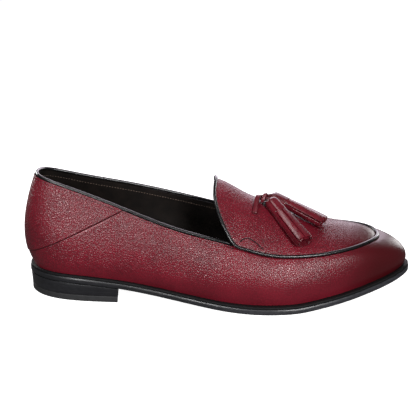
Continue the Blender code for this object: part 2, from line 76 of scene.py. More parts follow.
# The half-moon rows that hold the apron at the throat corners
HALF_MOONS = {
    "outer": (
        (17.0, -35.4, 51.6),
        (19.6, -34.2, 53.6),
        (23.4, -33.0, 53.9),
        (28.4, -34.2, 51.3),
        (34.5, -37.1, 46.6),
    ),
    "inner": (
        (17.0, 43.8, 54.6),
        (19.6, 42.6, 56.4),
        (23.4, 41.4, 56.6),
        (28.4, 42.4, 54.2),
        (34.5, 44.6, 49.8),
    ),
}

# Soft creases in the leather: two ends on the surface, how deep, and how wide. A ridge's depth is below 0.
CREASES = (
    ((62.0, -50.0, 33.0), (30.0, -47.0, 41.0), 0.35, 5.0),
    ((92.0, -44.0, 30.0), (60.0, -47.0, 38.0), 0.30, 4.5),
    ((48.0, -50.0, 26.0), (76.0, -48.0, 24.0), -0.25, 5.0),
    ((60.0, 48.0, 34.0), (26.0, 46.0, 42.0), 0.35, 5.0),
    ((90.0, 42.0, 31.0), (58.0, 47.0, 39.0), 0.30, 4.5),
    ((72.0, -24.0, 55.0), (100.0, -2.0, 53.0), 0.28, 4.5),
    ((72.0, 30.0, 56.0), (98.0, 10.0, 53.5), 0.24, 4.5),
    ((-40.0, -39.0, 34.0), (-8.0, -42.0, 30.0), 0.30, 6.0),
    ((-100.0, -32.0, 58.0), (-120.0, -22.0, 66.0), 0.25, 6.0),
    ((-60.0, 41.0, 40.0), (-20.0, 47.0, 36.0), 0.30, 6.0),
)

# The two ends of the counter's edge in the side view, as x and z
COUNTER_BACK = (-151.35, 31.0)
COUNTER_COLLAR = (-68.35, 73.0)

# The lace's straps: the loose end, the knuckle over the bar, the bar, and one that closes the gap below
LOOSE_END = (
    (33.6, 2.8, 74.8),
    (32.4, 1.6, 76.6),
    (31.2, -1.0, 77.2),
    (30.2, -4.4, 75.8),
    (29.4, -8.2, 73.5),
    (28.8, -12.4, 70.9),
    (28.3, -16.4, 68.3),
)
KNUCKLE = (
    (37.4, 3.2, 74.6),
    (37.1, 2.2, 77.2),
    (36.6, 0.0, 78.6),
    (35.8, -2.4, 77.4),
    (34.9, -3.6, 74.8),
    (34.1, -3.4, 72.4),
)
BAR = ((30.6, 0.8, 75.8), (33.4, 1.0, 75.5), (36.6, 2.0, 75.2), (39.6, 3.8, 75.2), (42.8, 5.6, 75.2))
UNDER = ((31.5, 1.8, 74.3), (35.0, 1.6, 73.4), (38.5, 1.8, 72.7), (42.0, 2.8, 72.0))
LOOSE_WIDTH, KNUCKLE_WIDTH = 3.5, 2.6
# Where each tassel's thong starts in the knot
THONGS = {
    "tassel_side": ((35.0, -0.4, 76.2), (37.0, -1.2, 75.7)),
    "tassel_front": ((35.0, 1.2, 75.6), (37.6, 2.8, 75.4)),
}
# The lace's dark cut end
KNOT_END = (36.1, -3.9, 71.9)
KNOT_END_RADIUS = 1.7

# The photo's camera, and the point that it looks at
CAMERA_AT = (9.45, -635.8, 269.7)
CAMERA_TO = (-7.35, 4.6, 65.2)

WHITE = (1.0, 1.0, 1.0, 1.0)
# The area lights, in metres and watts: name, place, what it aims at, size, power and colour
LIGHTS = (
    ("left", (-0.58, -1.03, 0.30), (-0.06, 0.0, 0.05), 0.28, 6.0, WHITE[:3]),
    ("right", (0.42, -0.95, 0.60), (0.03, 0.0, 0.04), 0.26, 7.0, WHITE[:3]),
    ("low", (0.56, -0.96, 0.18), (0.06, 0.0, 0.03), 0.30, 3.8, WHITE[:3]),
    ("back", (0.12, 1.15, 0.55), (0.05, 0.0, 0.05), 0.90, 6.5, (1.0, 0.88, 1.0)),
    ("behind_heel", (-0.85, 0.85, 0.32), (-0.06, 0.0, 0.05), 0.40, 6.0, WHITE[:3]),
    ("behind_toe", (0.75, 0.95, 0.20), (0.05, 0.0, 0.04), 0.40, 2.2, WHITE[:3]),
    ("top", (-0.30, -0.30, 1.10), (-0.04, 0.0, 0.04), 0.40, 3.6, WHITE[:3]),
)

# How many points smooth_path puts between two given ones
PATH_STEPS = 24

# Where the pebbles fade out towards the toe, and where they set in above the sole, as x and z in metres
TOE_FADE, SOLE_FADE = (0.080, 0.125), (0.016, 0.032)
# How far the pebbles stray from even rows
PEBBLE_SCATTER = 0.9
# The counter's seam: the colour of its painted shade, and that of the painted highlight on the raised edge
# beside it
SEAM_SHADE_COLOUR, SEAM_HIGHLIGHT_COLOUR = (0.012, 0.002, 0.003), (0.50, 0.20, 0.22)

# The upper's wall, in metres
WALL = 0.0022
# The line inside the shoe from which outwards is measured: its half length, its y and its height, in metres
SPINE_REACH, SPINE_Y, SPINE_Z = 0.095, 0.0046, 0.035
# How far the stitch rows lie below the collar's rim, outside and inside, in millimetres
COLLAR_DROP, LINING_DROP = 1.4, 4.6


class LoaferSizes(bpy.types.PropertyGroup):
    """Sizes that a maker would change."""

    pebble: FloatProperty(
        name="Pebble", description="Width of one pebble of the grain", default=0.0016, unit="LENGTH"
    )
    stitch_pitch: FloatProperty(
        name="Stitch pitch", description="From stitch to stitch", default=0.0022, unit="LENGTH"
    )
    thread: FloatProperty(name="Thread", description="Thread thickness", default=0.00045, unit="LENGTH")
    lace: FloatProperty(name="Lace", description="Thickness of the lace", default=0.0013, unit="LENGTH")
    strip_thick: FloatProperty(
        name="Strip", description="Thickness of a tassel's strip", default=0.0012, unit="LENGTH"
    )
    strips: IntProperty(
        name="Strips", description="Strips round a tassel's outside", default=7, min=5, max=16
    )
    cord_swell: FloatProperty(
        name="Cord swell", description="Fullness of the piping", default=0.00014, unit="LENGTH"
    )


class LoaferColours(bpy.types.PropertyGroup):
    """Colours of the leathers, threads and stage."""

    leather: FloatVectorProperty(
        name="Leather", description="Burgundy of the upper", subtype="COLOR", default=(0.235, 0.012, 0.026)
    )
    leather_dark: FloatVectorProperty(
        name="Leather shade",
        description="Darker burgundy in the grain",
        subtype="COLOR",
        default=(0.038, 0.0022, 0.005),
    )
    toe: FloatVectorProperty(
        name="Toe",
        description="Burnished burgundy of the toe",
        subtype="COLOR",
        default=(0.052, 0.0018, 0.0034),
    )
    black: FloatVectorProperty(
        name="Black leather", description="Piping and welt", subtype="COLOR", default=(0.004, 0.004, 0.0045)
    )
    edge: FloatVectorProperty(
        name="Sole edge", description="Waxed edge of the sole", subtype="COLOR", default=(0.017, 0.017, 0.020)
    )
    lining: FloatVectorProperty(
        name="Lining", description="Lining and sock", subtype="COLOR", default=(0.010, 0.0065, 0.005)
    )
    lining_thread: FloatVectorProperty(
        name="Lining thread",
        description="Thread inside the collar",
        subtype="COLOR",
        default=(0.14, 0.10, 0.08),
    )
    black_thread: FloatVectorProperty(
        name="Black thread", description="Thread of the upper", subtype="COLOR", default=(0.010, 0.009, 0.010)
    )
    floor: FloatVectorProperty(
        name="Floor", description="Pale floor", subtype="COLOR", default=(0.93, 0.93, 0.93)
    )


def tinted(colour, factor):
    return [part * factor for part in colour]


def linked(name, data):
    """A new object in the scene."""
    piece = bpy.data.objects.new(name, data)
    bpy.context.scene.collection.objects.link(piece)
    return piece


def newly_added(name):
    """The object that an operator has just added, with its name."""
    piece = bpy.context.view_layer.objects.active
    piece.name = name
    return piece


def selected_alone(piece):
    bpy.ops.object.select_all(action="DESELECT")
    piece.select_set(True)
    bpy.context.view_layer.objects.active = piece


@contextmanager
def editing(piece, mode="VERT"):
    """Edit mode on one piece, with all of it selected at first."""
    selected_alone(piece)
    bpy.ops.object.mode_set(mode="EDIT")
    bpy.ops.mesh.select_mode(type=mode)
    bpy.ops.mesh.select_all(action="SELECT")
    yield
    bpy.ops.object.mode_set(mode="OBJECT")


def modify(piece, kind, **settings):
    """Adds a modifier and applies it."""
    selected_alone(piece)
    modifier = piece.modifiers.new(kind.title(), kind)
    for name, value in settings.items():
        setattr(modifier, name, value)
    bpy.ops.object.modifier_apply(modifier=modifier.name)


def round_edges(piece, width, segments=2, angle=40.0):
    """Rounds the edges that turn by more than an angle, by a width in millimetres."""
    limit = math.radians(angle)
    modify(piece, "BEVEL", width=width * MM, segments=segments, limit_method="ANGLE", angle_limit=limit)


def smooth(piece, angle=40.0):
    selected_alone(piece)
    bpy.ops.object.shade_smooth_by_angle(angle=math.radians(angle))


def settle(piece):
    """Puts a piece's place into its mesh, with its faces outwards."""
    selected_alone(piece)
    bpy.ops.object.transform_apply(location=True, rotation=True, scale=True)
    with editing(piece):
        bpy.ops.mesh.normals_make_consistent(inside=False)
    return piece


def joined(name, pieces):
    """One piece from several."""
    bpy.ops.object.select_all(action="DESELECT")
    for piece in pieces:
        piece.select_set(True)
    bpy.context.view_layer.objects.active = pieces[0]
    bpy.ops.object.join()
    pieces[0].name = name
    return pieces[0]


def dressed(piece, slot, *nodes):
    """Puts a finished piece on its body and hides the solids that it stands for. The slot is not used."""
    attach(piece, "root")
    for node in nodes:
        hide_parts(node)
    return piece


def from_solid(node, name, crease=40.0, levels=2):
    """A copy of a solid's mesh: merged, in quads again and subdivided, with its sharp edges kept."""
    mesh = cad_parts[node].data.copy()
    mesh.materials.clear()
    piece = linked(name, mesh)
    selected_alone(piece)
    bpy.ops.mesh.customdata_custom_splitnormals_clear()
    with editing(piece, "EDGE"):
        bpy.ops.mesh.remove_doubles(threshold=1e-6)
        bpy.ops.mesh.mark_sharp(clear=True)
        bpy.ops.mesh.tris_convert_to_quads(
            face_threshold=math.radians(25), shape_threshold=math.radians(60)
        )
        bpy.ops.mesh.select_all(action="DESELECT")
        bpy.ops.mesh.edges_select_sharp(sharpness=math.radians(crease))
        bpy.ops.transform.edge_crease(value=1.0)
    if levels:
        modify(piece, "SUBSURF", levels=levels, render_levels=levels)
    return piece


def points_of(mesh):
    points = np.empty(len(mesh.vertices) * 3)
    mesh.vertices.foreach_get("co", points)
    return points.reshape(-1, 3)


def normals_of(mesh):
    normals = np.empty(len(mesh.vertices) * 3)
    mesh.vertices.foreach_get("normal", normals)
    return normals.reshape(-1, 3)


def runs_of(rows):
    """The length along a path at each of its points."""
    return np.concatenate([[0.0], np.cumsum(np.linalg.norm(np.diff(rows, axis=0), axis=1))])


def point_at(at, runs, rows):
    """The point that lies a length along a path."""
    return Vector([np.interp(at, runs, rows[:, axis]) for axis in range(3)])


def smooth_path(points, count):
    """Evenly spaced points on the smooth curve through a few, in metres."""
    rows = np.array(points, float) * MM
    rows = np.vstack([2 * rows[0] - rows[1], rows, 2 * rows[-1] - rows[-2]])
    fine = []
    for a, b, c, d in zip(rows, rows[1:], rows[2:], rows[3:]):
        slope, bend, twist = c - a, 2 * a - 5 * b + 4 * c - d, 3 * b - a - 3 * c + d
        for t in np.linspace(0, 1, PATH_STEPS, endpoint=False):
            fine.append(0.5 * (2 * b + slope * t + bend * t * t + twist * t**3))
    fine = np.array([*fine, rows[-2]])
    runs = runs_of(fine)
    return [point_at(at, runs, fine) for at in np.linspace(0, runs[-1], count)]


def lace_tube(name, path, thick):
    """A round thong along a path, its ends closed."""
    curve = bpy.data.curves.new(name, "CURVE")
    curve.dimensions = "3D"
    spline = curve.splines.new("POLY")
    spline.points.add(len(path) - 1)
    for point, target in zip(path, spline.points):
        target.co = (*point, 1.0)
    curve.bevel_depth = thick / 2
    curve.bevel_resolution = 4
    curve.use_fill_caps = True
    selected_alone(linked(name, curve))
    bpy.ops.object.convert(target="MESH")
    piece = newly_added(name)
    with editing(piece):
        bpy.ops.mesh.remove_doubles(threshold=1e-6)
        bpy.ops.mesh.normals_make_consistent(inside=False)
    return piece


def strap(name, points, width, thick, side=(1.0, 0.0, 0.0), swell=0.0):
    """A flat cut strap along a path, its width along one direction and its long edges rounded."""
    steps = 26
    path = smooth_path(points, steps + 1)
    bpy.ops.object.select_all(action="DESELECT")
    bpy.ops.mesh.primitive_grid_add(x_subdivisions=steps, y_subdivisions=4, size=1.0)
    piece = newly_added(name)
    placed = []
    for u, v, _ in points_of(piece.data):
        at = min(int(round((u + 0.5) * steps)), steps)
        ahead = (path[min(at + 1, steps)] - path[max(at - 1, 0)]).normalized()
        across = (Vector(side) - Vector(side).dot(ahead) * ahead).normalized()
        up = ahead.cross(across)
        hump = (1 - (2 * v) ** 2) * 0.12 * width * MM
        reach = v * width * MM * (1 + swell * math.sin(math.pi * at / steps))
        placed.append(path[at] + across * reach - up * hump)
    piece.data.vertices.foreach_set("co", np.array(placed).ravel())
    piece.data.update()
    modify(piece, "SOLIDIFY", thickness=thick, offset=0.0)
    round_edges(piece, 0.22, angle=50.0)
    return settle(piece)


class Value:
    """A node's output, with the arithmetic that the materials use."""

    def __init__(self, shader, output):
        self.shader = shader
        self.output = output

    def combined(self, operation, other, swapped=False):
        pair = (other, self) if swapped else (self, other)
        return self.shader.node("ShaderNodeMath", {"operation": operation}, {0: pair[0], 1: pair[1]})

    def __add__(self, other):
        return self.combined("ADD", other)

    __radd__ = __add__

    def __sub__(self, other):
        return self.combined("SUBTRACT", other)

    def __rsub__(self, other):
        return self.combined("SUBTRACT", other, swapped=True)

    def __mul__(self, other):
        return self.combined("MULTIPLY", other)

    __rmul__ = __mul__

    def absolute(self):
        return self.shader.node("ShaderNodeMath", {"operation": "ABSOLUTE"}, {0: self})

    def between(self, low, high):
        """0 at low, 1 at high, with a soft start and end."""
        sockets = {"Value": self, "From Min": low, "From Max": high}
        return self.shader.node("ShaderNodeMapRange", {"interpolation_type": "SMOOTHSTEP"}, sockets)


class Shader:
    """A material's nodes."""

    def __init__(self, name, **constants):
        self.material = bpy.data.materials.new(name)
        self.material.use_nodes = True
        self.tree = self.material.node_tree
        self.surface = self.tree.nodes["Principled BSDF"]
        for socket, value in constants.items():
            self.surface.inputs[socket.replace("_", " ")].default_value = value
        place = self.tree.nodes.new("ShaderNodeTexCoord")
        self.place = Value(self, place.outputs["Object"])

    def node(self, kind, settings, sockets, output=0):
        """Adds a node: its settings first, then the values or links of its sockets."""
        made = self.tree.nodes.new(kind)
        for name, value in settings.items():
            setattr(made, name, value)
        for name, value in sockets.items():
            if isinstance(value, Value):
                self.tree.links.new(value.output, made.inputs[name])
            else:
                made.inputs[name].default_value = value
        return Value(self, made.outputs[output])

    def axes(self):
        split = self.tree.nodes.new("ShaderNodeSeparateXYZ")
        self.tree.links.new(self.place.output, split.inputs[0])
        return [Value(self, output) for output in split.outputs]

    def noise(self, scale, detail=2.0, roughness=0.5, place=None):
        sockets = {"Vector": place or self.place, "Scale": scale, "Detail": detail, "Roughness": roughness}
        return self.node("ShaderNodeTexNoise", {}, sockets)

    def cells(self, feature, place, scale, randomness=1.0, output=0):
        """A pattern of cells: the distance to the nearest centre (F1) or edge, or the cell's own colour."""
        sockets = {"Vector": place, "Scale": scale, "Randomness": randomness}
        return self.node("ShaderNodeTexVoronoi", {"feature": feature}, sockets, output)

    def stretched(self, x, y, z):
        """The place, stretched along the axes."""
        return self.node("ShaderNodeVectorMath", {"operation": "MULTIPLY"}, {0: self.place, 1: (x, y, z)})

    def pebbles(self, place, scale):
        """The height of close-packed pebbles: soft tops with a narrow crease between them."""
        creases = self.cells("DISTANCE_TO_EDGE", place, scale, PEBBLE_SCATTER).between(0.0, 0.20)
        tops = 1.0 - self.cells("F1", place, scale, PEBBLE_SCATTER).between(0.05, 0.80)
        return creases * 0.45 + tops * 0.55

    def wandering(self, scale, amount):
        """The place, pushed about by a soft noise."""
        sockets = {"Vector": self.place, "Scale": scale, "Detail": 2.0}
        noise = self.node("ShaderNodeTexNoise", {}, sockets, output=1)
        centred = self.node("ShaderNodeVectorMath", {"operation": "SUBTRACT"}, {0: noise, 1: (0.5, 0.5, 0.5)})
        small = self.node("ShaderNodeVectorMath", {"operation": "SCALE"}, {0: centred, "Scale": amount})
        return self.node("ShaderNodeVectorMath", {"operation": "ADD"}, {0: self.place, 1: small})

    def mixed(self, factor, first, second):
        """A colour between two."""
        sockets = {0: factor}
        for index, colour in ((6, first), (7, second)):
            sockets[index] = colour if isinstance(colour, Value) else (*colour, 1.0)
        return self.node("ShaderNodeMix", {"data_type": "RGBA"}, sockets, output=2)

    def feed(self, socket, value):
        self.tree.links.new(value.output, self.surface.inputs[socket])

    def bump(self, height, distance):
        self.feed("Normal", self.node("ShaderNodeBump", {}, {"Height": height, "Distance": distance}))


def pebbled_leather(sizes, colours):
    """Waxed burgundy leather, its pebbles flatter at toe and sole, with painted shade along the counter's
    seam and a painted highlight just below it.
    """
    shader = Shader("pebbled_leather", Specular_IOR_Level=0.50)
    x, _, z = shader.axes()
    bent = shader.wandering(340.0, 0.0011)
    domes = shader.pebbles(bent, 1.0 / sizes.pebble)
    beads = shader.pebbles(bent, 2.1 / sizes.pebble)
    fine = shader.noise(2600.0, 3.0, 0.6)
    toe = x.between(*TOE_FADE)
    low = 1.0 - z.between(*SOLE_FADE)
    flat = toe + (1.0 - toe) * low * 0.7
    rough = 1.0 - flat * 0.90
    grain = (domes * 0.80 + beads * 0.20) * rough
    waves = shader.noise(60.0, 2.0)

    # How far a place lies above the counter's edge
    span_x, span_z = COUNTER_COLLAR[0] - COUNTER_BACK[0], COUNTER_COLLAR[1] - COUNTER_BACK[1]
    run, rise = span_x / math.hypot(span_x, span_z), span_z / math.hypot(span_x, span_z)
    off = z * run - x * rise - (COUNTER_BACK[1] * run - COUNTER_BACK[0] * rise) * MM
    # Painted shade: the seam's line is darkened as the shade in the gap of its step; the same mask roughens
    # it and sinks it as a groove
    seam = (1.0 - (off - 0.0002).absolute().between(0.0001, 0.0007)) * (1.0 - x.between(-0.072, -0.066))
    # Painted highlight: a light stripe just below the seam, where the raised edge catches light, over the
    # middle of the counter
    streaked_sheen = x.between(-0.112, -0.100) * (1.0 - x.between(-0.088, -0.076))
    wear_and_sheen = (1.0 - (off + 0.0010).absolute().between(0.0001, 0.0006)) * streaked_sheen

    patches = shader.noise(28.0, 3.0, 0.55)
    each = shader.cells("F1", bent, 1.0 / sizes.pebble, PEBBLE_SCATTER, output=1)
    dyed = shader.node("ShaderNodeSeparateXYZ", {}, {0: each})
    tone = patches.between(0.30, 0.72) * 0.25 + domes * rough * (0.38 + dyed * 0.14) + 0.20 + flat * 0.08
    colour = shader.mixed(tone, colours.leather_dark, colours.leather)
    colour = shader.mixed(toe * 0.92, colour, colours.toe)
    # Painted shade on the counter's seam
    colour = shader.mixed(seam * 0.85, colour, SEAM_SHADE_COLOUR)
    # Painted highlight beside the counter's seam
    shader.feed("Base Color", shader.mixed(wear_and_sheen * 0.5, colour, SEAM_HIGHLIGHT_COLOUR))
    gloss = (shader.noise(90.0, 2.0) - 0.5) * 0.06
    shader.feed("Roughness", 0.19 + flat * 0.14 + gloss + seam * 0.25 + (1.0 - domes) * rough * 0.20)
    height = grain + fine * 0.04 * rough + waves * 0.7 - seam * 1.4
    shader.bump(height, 0.00021)
    return shader.material


def smooth_leather(name, colour, shade, roughness, coat, wrinkle=0.00006, specular=0.5):
    """Plain leather with a fine grain and soft wrinkles."""
    shader = Shader(name, Coat_Weight=coat, Coat_Roughness=0.28, Specular_IOR_Level=specular)
    fine = shader.cells("DISTANCE_TO_EDGE", shader.wandering(900.0, 0.0004), 2600.0).between(0.0, 0.25)
    soft = shader.noise(260.0, 3.0, 0.6)
    patches = shader.noise(120.0, 3.0)
    shader.feed("Base Color", shader.mixed(patches.between(0.3, 0.7), shade, colour))
    shader.feed("Roughness", roughness + (soft - 0.5) * 0.18)
    shader.bump(fine * 0.2 + soft * 0.9, wrinkle)
    return shader.material


def waxed_edge(colours):
    """Cut edge of sole leather, inked, waxed and burnished: faint layers and rubbed streaks, and a painted
    reflection that lightens the edge towards the toe.
    """
    shader = Shader("waxed_edge", Coat_Roughness=0.22)
    layers = shader.noise(1.0, 3.0, 0.6, shader.stretched(25.0, 25.0, 1800.0))
    rubs = shader.noise(1.0, 3.0, 0.6, shader.stretched(320.0, 320.0, 420.0))
    fore = shader.axes()[0].between(-0.03, 0.04)
    tone = layers.between(0.3, 0.75) * 0.5 + rubs.between(0.2, 0.8) * 0.35
    shader.feed("Coat Weight", 0.08 + fore * 0.30)
    # Painted reflection: the edge's colour gets lighter towards the toe; the layers and streaks are the
    # edge's own
    streaked_sheen = tone * (0.25 + fore * 0.75)
    shader.feed("Base Color", shader.mixed(streaked_sheen, tinted(colours.edge, 0.45), tinted(colours.edge, 3.2)))
    shader.feed("Roughness", 0.30 + tone * 0.16)
    shader.bump(layers * 0.5 + rubs * 0.6, 0.00008)
    return shader.material


def sole_leather():
    """The tread: black-stained sole leather, a little scuffed where it meets the floor."""
    shader = Shader("sole_leather", Coat_Weight=0.1, Coat_Roughness=0.4)
    z = shader.axes()[2]
    fibres = shader.noise(1.0, 4.0, 0.6, shader.stretched(500.0, 900.0, 500.0))
    scuffs = shader.noise(1.0, 3.0, 0.6, shader.stretched(60.0, 260.0, 60.0)).between(0.56, 0.70)
    touch = 1.0 - z.between(0.0002, 0.0016)
    wear_and_sheen = scuffs * touch
    colour = shader.mixed(fibres, (0.012, 0.010, 0.009), (0.030, 0.026, 0.024))
    shader.feed("Base Color", shader.mixed(wear_and_sheen * 0.7, colour, (0.085, 0.070, 0.058)))
    shader.feed("Roughness", 0.48 + wear_and_sheen * 0.22)
    shader.bump(fibres * 0.5 - wear_and_sheen * 0.4, 0.00010)
    return shader.material


def lift_rubber():
    """Black rubber of the heel's lift, with a fine pimple pattern underneath."""
    shader = Shader("lift_rubber", Roughness=0.62)
    dots = shader.cells("F1", shader.place, 420.0, randomness=0.0)
    tone = shader.noise(220.0, 3.0)
    shader.feed("Base Color", shader.mixed(tone, (0.010, 0.010, 0.011), (0.026, 0.026, 0.028)))
    under = 1.0 - shader.axes()[2].between(0.0003, 0.0009)
    shader.bump((1.0 - dots.between(0.1, 0.5)) * under + tone * 0.15, 0.00016)
    return shader.material


def thread_finish(name, colour):
    """Waxed twisted thread."""
    shader = Shader(name, Roughness=0.6, Specular_IOR_Level=0.25)
    twist = shader.noise(1.0, 2.0, 0.5, shader.stretched(6000.0, 6000.0, 3000.0))
    shader.feed("Base Color", shader.mixed(twist, tinted(colour, 0.6), tinted(colour, 1.6)))
    shader.bump(twist, 0.00006)
    return shader.material


def paint(piece, *materials):
    piece.data.materials.clear()
    for material in materials:
        piece.data.materials.append(material)


def outward_from(places, y, z):
    """The directions from a line inside the shoe to the places."""
    spine = np.empty_like(places)
    spine[:, 0], spine[:, 1], spine[:, 2] = np.clip(places[:, 0], -SPINE_REACH, SPINE_REACH), y, z
    outward = places - spine
    return outward / np.linalg.norm(outward, axis=1)[:, None]


def inner_faces(mesh):
    """True for each face of the lining's side, which looks towards the middle of the shoe."""
    count = len(mesh.polygons)
    centres, normals = np.empty(count * 3), np.empty(count * 3)
    mesh.polygons.foreach_get("center", centres)
    mesh.polygons.foreach_get("normal", normals)
    centres, normals = centres.reshape(-1, 3), normals.reshape(-1, 3)
    x, y, z = centres.T
    beside = (x < 0.013) & (np.abs(y - SPINE_Y) > 0.026) & (z < 0.066)
    quarter = (x < -0.008) | beside
    facing = (outward_from(centres, SPINE_Y, np.where(quarter, z, SPINE_Z)) * normals).sum(1)
    # The quarter's threshold is higher, so that the rim's top edge counts as lining
    return facing < np.where(quarter, 0.35, 0.0)


def press_creases(mesh):
    """Presses the soft creases into both sides of the wall."""
    points, normals = points_of(mesh), normals_of(mesh)
    side = np.sign((outward_from(points, 0.0, SPINE_Z) * normals).sum(1))
    faces_out = normals * side[:, None]
    move = np.zeros(len(points))
    for start, end, deep, wide in CREASES:
        a, b = np.array(start) * MM, np.array(end) * MM
        along = np.clip(((points - a) @ (b - a)) / ((b - a) @ (b - a)), 0, 1)
        off = np.linalg.norm(points - a - along[:, None] * (b - a), axis=1)
        off = np.maximum(off - WALL, 0) if deep > 0 else off
        ends = np.sin(math.pi * np.clip(along, 0.02, 0.98)) ** 0.7
        move -= deep * MM * np.exp(-((off / (wide * MM)) ** 2)) * ends
    mesh.vertices.foreach_set("co", (points + faces_out * move[:, None]).ravel())
    mesh.update()


def surface_of(piece, inner):
    """The outer or inner side of the upper, for laying things on."""
    mesh = piece.data
    faces = [tuple(face.vertices) for face in mesh.polygons if (face.material_index == 1) == inner]
    return BVHTree.FromPolygons([vertex.co for vertex in mesh.vertices], faces)


# The upper's two sides, kept by make_upper for the stitches
SURFACES = {}


def make_upper(sizes, colours):
    upper = from_solid("upper", "leather_upper")
    press_creases(upper.data)
    shade = tinted(colours.lining, 0.5)
    lining = smooth_leather("lining_leather", colours.lining, shade, 0.7, 0.0, specular=0.2)
    paint(upper, pebbled_leather(sizes, colours), lining)
    inner = inner_faces(upper.data)
    upper.data.polygons.foreach_set("material_index", inner.astype(np.int32))
    smooth(upper, 50.0)
    SURFACES["outer"] = surface_of(upper, False)
    SURFACES["inner"] = surface_of(upper, True)
    dressed(upper, "leather", "upper")


def make_piping(sizes, colours):
    cord = smooth_leather("piping_leather", tinted(colours.black, 1.6), colours.black, 0.26, 0.5)
    for node, name in (("piping_apron", "apron_cord"), ("piping_collar", "collar_cord")):
        piece = from_solid(node, name, crease=70.0)
        with editing(piece):
                bpy.ops.transform.shrink_fatten(value=sizes.cord_swell)
        smooth(piece, 60.0)
        paint(piece, cord)
        dressed(piece, "black_leather", node)


def stitch_shape(length, thick):
    """One stitch, lying along X: thick in the middle and sunk at its ends."""
    bpy.ops.object.select_all(action="DESELECT")
    bpy.ops.mesh.primitive_uv_sphere_add(segments=8, ring_count=6, radius=0.5)
    stitch = newly_added("stitch")
    with editing(stitch):
        bpy.ops.transform.rotate(value=math.pi / 2, orient_axis="Y", center_override=(0, 0, 0))
        bpy.ops.transform.resize(value=(length, thick, thick), center_override=(0, 0, 0))
    points = points_of(stitch.data)
    points[:, 2] -= 0.35 * thick * (2 * points[:, 0] / length) ** 2
    faces = [tuple(face.vertices) for face in stitch.data.polygons]
    bpy.data.objects.remove(stitch, do_unlink=True)
    return points, faces


def stitch_row(name, path, surface, sizes, material, slot, slant=0.0, lift=0.25, thick=1.0, reach=0.72):
    """A row of stitches along a path, each laid on the surface."""
    length = sizes.stitch_pitch * reach
    shape, faces = stitch_shape(length, sizes.thread * thick)
    rows = np.array(path)
    runs = runs_of(rows)
    total = runs[-1]
    count = max(int(total / sizes.stitch_pitch), 2)
    points, all_faces = [], []
    for i in range(count):
        at = (i + 0.5) * total / count
        found, normal, _, _ = surface.find_nearest(point_at(at, runs, rows))
        along = point_at(min(at + MM, total), runs, rows) - point_at(max(at - MM, 0), runs, rows)
        along = (along - along.dot(normal) * normal).normalized()
        if slant:
            along = Matrix.Rotation(math.radians(slant), 3, normal) @ along
        turn = Matrix((along, normal.cross(along), normal)).transposed()
        base = len(points)
        middle = found + normal * sizes.thread * thick * lift
        points += [middle + turn @ Vector(point) for point in shape]
        all_faces += [tuple(base + index for index in face) for face in faces]
    mesh = bpy.data.meshes.new(name)
    mesh.from_pydata(points, [], all_faces)
    piece = linked(name, mesh)
    smooth(piece, 60.0)
    paint(piece, material)
    return dressed(piece, slot)


def make_stitching(sizes, colours):
    """The rows lie on the upper's two sides, so make_upper comes first."""
    black = thread_finish("black_thread", colours.black_thread)
    pale = thread_finish("lining_thread", colours.lining_thread)
    rim = smooth_path(COLLAR, 220)
    below = [point - Vector((0, 0, COLLAR_DROP * MM)) for point in rim]
    stitch_row("collar_stitches", below, SURFACES["outer"], sizes, black, "black_leather", slant=18.0)
    inside = [point - Vector((0, 0, LINING_DROP * MM)) for point in rim[3:-3]]
    stitch_row("lining_stitches", inside, SURFACES["inner"], sizes, pale, "lining")
    for side, points in HALF_MOONS.items():
        name, arc = "half_moon_" + side, smooth_path(points, 40)
        looks = {"lift": 0.4, "thick": 2.1, "reach": 1.2}
        stitch_row(name, arc, SURFACES["outer"], sizes, black, "black_leather", **looks)


def make_sole(colours):
    edge = waxed_edge(colours)
    tread = sole_leather()
    outsole = from_solid("outsole", "leather_outsole", crease=30.0)
    smooth(outsole, 30.0)
    paint(outsole, edge, tread)
    for face in outsole.data.polygons:
        face.material_index = 1 if face.normal.z < -0.75 else 0
    dressed(outsole, "sole_edge", "outsole")
    welt = from_solid("welt", "leather_welt", crease=30.0)
    round_edges(welt, 0.3)
    smooth(welt, 30.0)
    light = tinted(colours.black, 1.3)
    paint(welt, smooth_leather("welt_leather", light, colours.black, 0.6, 0.0, specular=0.25))
    dressed(welt, "black_leather", "welt")


def make_heel():
    """The heel shares the outsole's waxed edge, so make_sole comes first."""
    block = from_solid("heel_block", "stacked_heel", crease=30.0)
    round_edges(block, 0.3)
    smooth(block, 30.0)
    paint(block, bpy.data.materials["waxed_edge"])
    dressed(block, "sole_edge", "heel_block")
    lift = from_solid("top_lift", "rubber_lift", crease=30.0)
    round_edges(lift, 0.3)
    smooth(lift, 30.0)
    paint(lift, lift_rubber())
    dressed(lift, "rubber", "top_lift")


def make_insole(colours):
    """The sock that lines the insole."""
    sock = from_solid("insole", "insole_sock", crease=30.0)
    round_edges(sock, 0.6, segments=3)
    smooth(sock, 30.0)
    paint(sock, smooth_leather("sock_leather", tinted(colours.lining, 1.5), colours.lining, 0.5, 0.05))
    dressed(sock, "lining", "insole")


def tassel_axis(node):
    """The thin end and the wide end of a tassel's solid."""
    points = points_of(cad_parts[node].data)
    middle = points.mean(0)
    along = np.linalg.svd(points - middle, full_matrices=False)[2][0]
    at = (points - middle) @ along
    tips = [points[at < at.min() + 0.001], points[at > at.max() - 0.001]]
    near, far = [np.linalg.norm(tip - tip.mean(0), axis=1).mean() for tip in tips]
    if near > far:
        at = -at
    first = points[at < at.min() + 0.0005].mean(0)
    last = points[at > at.max() - 0.001].mean(0)
    return Vector(first), Vector(last)


